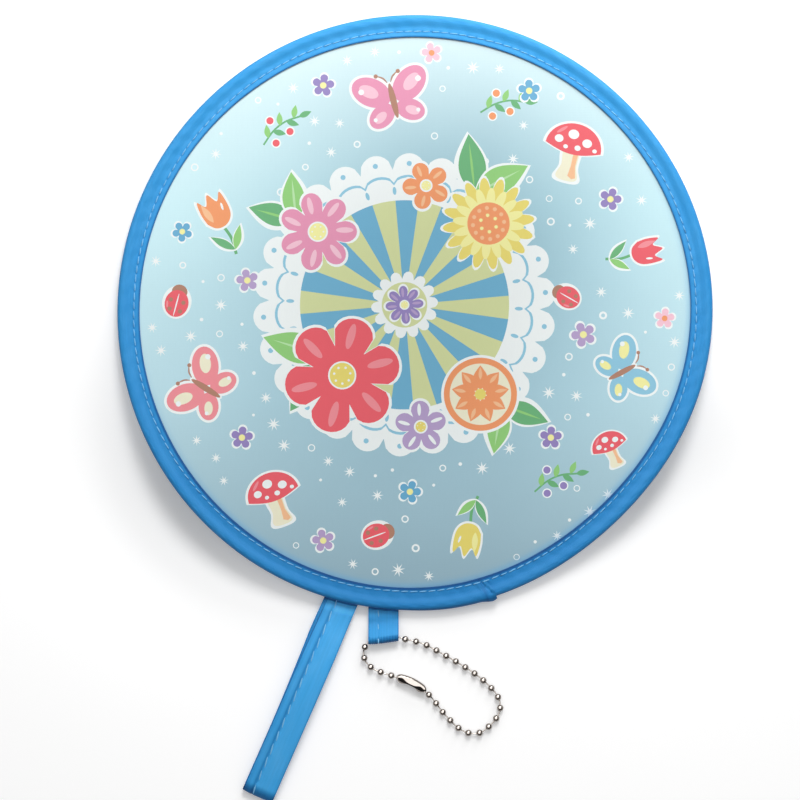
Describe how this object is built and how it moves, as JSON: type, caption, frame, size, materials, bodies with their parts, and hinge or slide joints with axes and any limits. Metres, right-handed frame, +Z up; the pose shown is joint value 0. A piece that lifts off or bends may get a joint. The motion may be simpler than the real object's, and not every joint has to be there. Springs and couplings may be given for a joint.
{
  "type": "folding fan",
  "caption": "Round twist-and-fold pocket fan: printed cloth on a steel hoop with a sewn tape rim, a looped wrist strap and a tab with a ball chain and clasp.",
  "frame": {"origin": "middle of the box round the fan, on the table that it lies on", "axes": "+Z up, out of the printed face; +Y across the disc, away from the strap; +X to the right of the printed face"},
  "size_m": [0.2198, 0.291, 0.0059],
  "materials": {
    "printed_cloth": null,
    "tape": "smooth woven tape, azure",
    "thread": "sewing thread, light blue",
    "spring_steel": "tempered flat wire",
    "nickel": "nickel plate, polished"
  },
  "bodies": {
    "disc": {"fabric_panel": "printed_cloth", "hoop_wire": "spring_steel", "hoop_ferrule": "spring_steel", "rim_binding": "tape", "binding_overlap": "tape", "front_thread": "thread", "back_thread": "thread", "strap_tail_lower": "tape", "strap_tail_upper": "tape", "tab_tail_lower": "tape", "tab_tail_upper": "tape"},
    "strap": {"strap_loop": "tape", "strap_thread": "thread"},
    "tab": {"tab_loop": "tape", "tab_thread": "thread"},
    "chain_middle": {"bead_tunnel_middle": "nickel", "bead_tunnel_right": "nickel", "bead_tunnel_left": "nickel"},
    "bead_right_01": {"bead_right_01": "nickel"},
    "bead_right_02": {"bead_right_02": "nickel"},
    "bead_right_03": {"bead_right_03": "nickel"},
    "bead_right_04": {"bead_right_04": "nickel"},
    "bead_right_05": {"bead_right_05": "nickel"},
    "bead_right_06": {"bead_right_06": "nickel"},
    "bead_right_07": {"bead_right_07": "nickel"},
    "bead_right_08": {"bead_right_08": "nickel"},
    "bead_right_09": {"bead_right_09": "nickel"},
    "bead_right_10": {"bead_right_10": "nickel"},
    "bead_right_11": {"bead_right_11": "nickel"},
    "bead_right_12": {"bead_right_12": "nickel"},
    "bead_right_13": {"bead_right_13": "nickel"},
    "bead_right_14": {"bead_right_14": "nickel"},
    "bead_right_15": {"bead_right_15": "nickel"},
    "bead_right_16": {"bead_right_16": "nickel"},
    "bead_right_17": {"bead_right_17": "nickel"},
    "bead_right_18": {"bead_right_18": "nickel"},
    "bead_right_19": {"bead_right_19": "nickel"},
    "bead_right_20": {"bead_right_20": "nickel"},
    "bead_right_21": {"bead_right_21": "nickel"},
    "bead_right_22": {"bead_right_22": "nickel"},
    "bead_left_01": {"bead_left_01": "nickel"},
    "bead_left_02": {"bead_left_02": "nickel"},
    "bead_left_03": {"bead_left_03": "nickel"},
    "bead_left_04": {"bead_left_04": "nickel"},
    "bead_left_05": {"bead_left_05": "nickel"},
    "bead_left_06": {"bead_left_06": "nickel"},
    "connector": {"chain_connector": "nickel"}
  },
  "joints": [
    {"name": "strap_swing", "type": "hinge", "parent": "disc", "child": "strap", "pos_m": [-0.02677, -0.0711, 0.00305], "axis": [-0.9157, 0.4019, 0], "range_deg": [-20, 150]},
    {"name": "tab_swing", "type": "hinge", "parent": "disc", "child": "tab", "pos_m": [-0.01165, -0.07368, 0.00305], "axis": [-1, 0, 0], "range_deg": [-20, 90]},
    {"name": "chain_swing", "type": "hinge", "parent": "tab", "child": "chain_middle", "pos_m": [-0.01165, -0.08448, 0.002], "axis": [-0.9936, -0.1132, 0], "range_deg": [-60, 60]},
    {"name": "chain_bend_near", "type": "hinge", "parent": "chain_middle", "child": "bead_right_01", "pos_m": [-0.00648, -0.08409, 0.00197], "axis": [0, 0, 1], "range_deg": [-5, 0]},
    {"name": "link_right_02", "type": "hinge", "parent": "bead_right_01", "child": "bead_right_02", "pos_m": [-0.00254, -0.08537, 0.00172], "axis": [0, 0, 1], "range_deg": [-5, 0]},
    {"name": "link_right_03", "type": "hinge", "parent": "bead_right_02", "child": "bead_right_03", "pos_m": [0.00146, -0.08634, 0.00133], "axis": [0, 0, 1], "range_deg": [-5, 0]},
    {"name": "link_right_04", "type": "hinge", "parent": "bead_right_03", "child": "bead_right_04", "pos_m": [0.0053, -0.08784, 0.00117], "axis": [0, 0, 1], "range_deg": [-5, 0]},
    {"name": "link_right_05", "type": "hinge", "parent": "bead_right_04", "child": "bead_right_05", "pos_m": [0.0089, -0.08985, 0.0012], "axis": [0, 0, 1], "range_deg": [-5, 0]},
    {"name": "link_right_06", "type": "hinge", "parent": "bead_right_05", "child": "bead_right_06", "pos_m": [0.01249, -0.09188, 0.0012], "axis": [0, 0, 1], "range_deg": [0, 5]},
    {"name": "link_right_07", "type": "hinge", "parent": "bead_right_06", "child": "bead_right_07", "pos_m": [0.01605, -0.09395, 0.0012], "axis": [0, 0, 1], "range_deg": [0, 5]},
    {"name": "link_right_08", "type": "hinge", "parent": "bead_right_07", "child": "bead_right_08", "pos_m": [0.01953, -0.09616, 0.0012], "axis": [0, 0, 1], "range_deg": [0, 5]},
    {"name": "link_right_09", "type": "hinge", "parent": "bead_right_08", "child": "bead_right_09", "pos_m": [0.02293, -0.09848, 0.0012], "axis": [0, 0, 1], "range_deg": [0, 5]},
    {"name": "link_right_10", "type": "hinge", "parent": "bead_right_09", "child": "bead_right_10", "pos_m": [0.02611, -0.10111, 0.0012], "axis": [0, 0, 1], "range_deg": [0, 5]},
    {"name": "link_right_11", "type": "hinge", "parent": "bead_right_10", "child": "bead_right_11", "pos_m": [0.02898, -0.10406, 0.0012], "axis": [0, 0, 1], "range_deg": [0, 5]},
    {"name": "chain_bend_far", "type": "hinge", "parent": "bead_right_11", "child": "bead_right_12", "pos_m": [0.03117, -0.10754, 0.0012], "axis": [0, 0, 1], "range_deg": [0, 25.32]},
    {"name": "link_right_13", "type": "hinge", "parent": "bead_right_12", "child": "bead_right_13", "pos_m": [0.03146, -0.11167, 0.0012], "axis": [0, 0, 1], "range_deg": [0, 32.1]},
    {"name": "link_right_14", "type": "hinge", "parent": "bead_right_13", "child": "bead_right_14", "pos_m": [0.02953, -0.11537, 0.0012], "axis": [0, 0, 1], "range_deg": [0, 21.59]},
    {"name": "link_right_15", "type": "hinge", "parent": "bead_right_14", "child": "bead_right_15", "pos_m": [0.0265, -0.1182, 0.0012], "axis": [0, 0, 1], "range_deg": [0, 13.52]},
    {"name": "chain_open", "type": "hinge", "parent": "bead_right_15", "child": "bead_right_16", "pos_m": [0.02288, -0.12013, 0.0012], "axis": [0, 0, 1], "range_deg": [0, 33.77]},
    {"name": "link_right_17", "type": "hinge", "parent": "bead_right_16", "child": "bead_right_17", "pos_m": [0.01874, -0.1196, 0.0012], "axis": [0, 0, 1], "range_deg": [0, 26.85]},
    {"name": "link_right_18", "type": "hinge", "parent": "bead_right_17", "child": "bead_right_18", "pos_m": [0.01521, -0.1174, 0.0012], "axis": [0, 0, 1], "range_deg": [0, 16.54]},
    {"name": "link_right_19", "type": "hinge", "parent": "bead_right_18", "child": "bead_right_19", "pos_m": [0.01232, -0.11444, 0.0012], "axis": [0, 0, 1], "range_deg": [0, 4.41]},
    {"name": "link_right_20", "type": "hinge", "parent": "bead_right_19", "child": "bead_right_20", "pos_m": [0.00961, -0.11135, 0.00122], "axis": [0, 0, 1], "range_deg": [0, 6.02]},
    {"name": "link_right_21", "type": "hinge", "parent": "bead_right_20", "child": "bead_right_21", "pos_m": [0.00717, -0.10802, 0.0014], "axis": [0, 0, 1], "range_deg": [-3.27, 0]},
    {"name": "link_right_22", "type": "hinge", "parent": "bead_right_21", "child": "bead_right_22", "pos_m": [0.00441, -0.10497, 0.00166], "axis": [0, 0, 1], "range_deg": [-14.18, 0]},
    {"name": "link_left_01", "type": "hinge", "parent": "chain_middle", "child": "bead_left_01", "pos_m": [-0.0167, -0.08543, 0.00197], "axis": [0, 0, 1], "range_deg": [-12.39, 0]},
    {"name": "link_left_02", "type": "hinge", "parent": "bead_left_01", "child": "bead_left_02", "pos_m": [-0.01892, -0.08898, 0.00171], "axis": [0, 0, 1], "range_deg": [-11.69, 0]},
    {"name": "link_left_03", "type": "hinge", "parent": "bead_left_02", "child": "bead_left_03", "pos_m": [-0.01844, -0.09314, 0.00133], "axis": [0, 0, 1], "range_deg": [-11.58, 0]},
    {"name": "link_left_04", "type": "hinge", "parent": "bead_left_03", "child": "bead_left_04", "pos_m": [-0.01554, -0.09617, 0.00119], "axis": [0, 0, 1], "range_deg": [-8.31, 0]},
    {"name": "link_left_05", "type": "hinge", "parent": "bead_left_04", "child": "bead_left_05", "pos_m": [-0.01169, -0.09774, 0.0014], "axis": [0, 0, 1], "range_deg": [-2.85, 0]},
    {"name": "link_left_06", "type": "hinge", "parent": "bead_left_05", "child": "bead_left_06", "pos_m": [-0.00774, -0.09893, 0.00166], "axis": [0, 0, 1], "range_deg": [0, 1.1]},
    {"name": "clasp_swivel", "type": "hinge", "parent": "bead_left_06", "child": "connector", "pos_m": [-0.00492, -0.10006, 0.00175], "axis": [0, 0, 1], "range_deg": [-8, 0]}
  ],
  "couplings": [
    {"joint": "link_right_02", "follows": "chain_bend_near", "ratio": 1},
    {"joint": "link_right_03", "follows": "chain_bend_near", "ratio": 1},
    {"joint": "link_right_04", "follows": "chain_bend_near", "ratio": 1},
    {"joint": "link_right_05", "follows": "chain_bend_near", "ratio": 1},
    {"joint": "link_right_06", "follows": "chain_bend_near", "ratio": -1},
    {"joint": "link_right_07", "follows": "chain_bend_near", "ratio": -1},
    {"joint": "link_right_08", "follows": "chain_bend_near", "ratio": -1},
    {"joint": "link_right_09", "follows": "chain_bend_near", "ratio": -1},
    {"joint": "link_right_10", "follows": "chain_bend_near", "ratio": -1},
    {"joint": "link_right_11", "follows": "chain_bend_near", "ratio": -1},
    {"joint": "link_right_13", "follows": "chain_bend_far", "ratio": 1.2681},
    {"joint": "link_right_14", "follows": "chain_bend_far", "ratio": 0.85268},
    {"joint": "link_right_15", "follows": "chain_bend_far", "ratio": 0.53391},
    {"joint": "link_right_17", "follows": "chain_open", "ratio": 0.795},
    {"joint": "link_right_18", "follows": "chain_open", "ratio": 0.48972},
    {"joint": "link_right_19", "follows": "chain_open", "ratio": 0.13044},
    {"joint": "link_right_20", "follows": "chain_open", "ratio": 0.17825},
    {"joint": "link_right_21", "follows": "chain_open", "ratio": -0.09676},
    {"joint": "link_right_22", "follows": "chain_open", "ratio": -0.41976},
    {"joint": "link_left_01", "follows": "chain_open", "ratio": -0.36678},
    {"joint": "link_left_02", "follows": "chain_open", "ratio": -0.34614},
    {"joint": "link_left_03", "follows": "chain_open", "ratio": -0.34285},
    {"joint": "link_left_04", "follows": "chain_open", "ratio": -0.2459},
    {"joint": "link_left_05", "follows": "chain_open", "ratio": -0.0843},
    {"joint": "link_left_06", "follows": "chain_open", "ratio": 0.03248},
    {"joint": "clasp_swivel", "follows": "chain_open", "ratio": -0.23691}
  ]
}
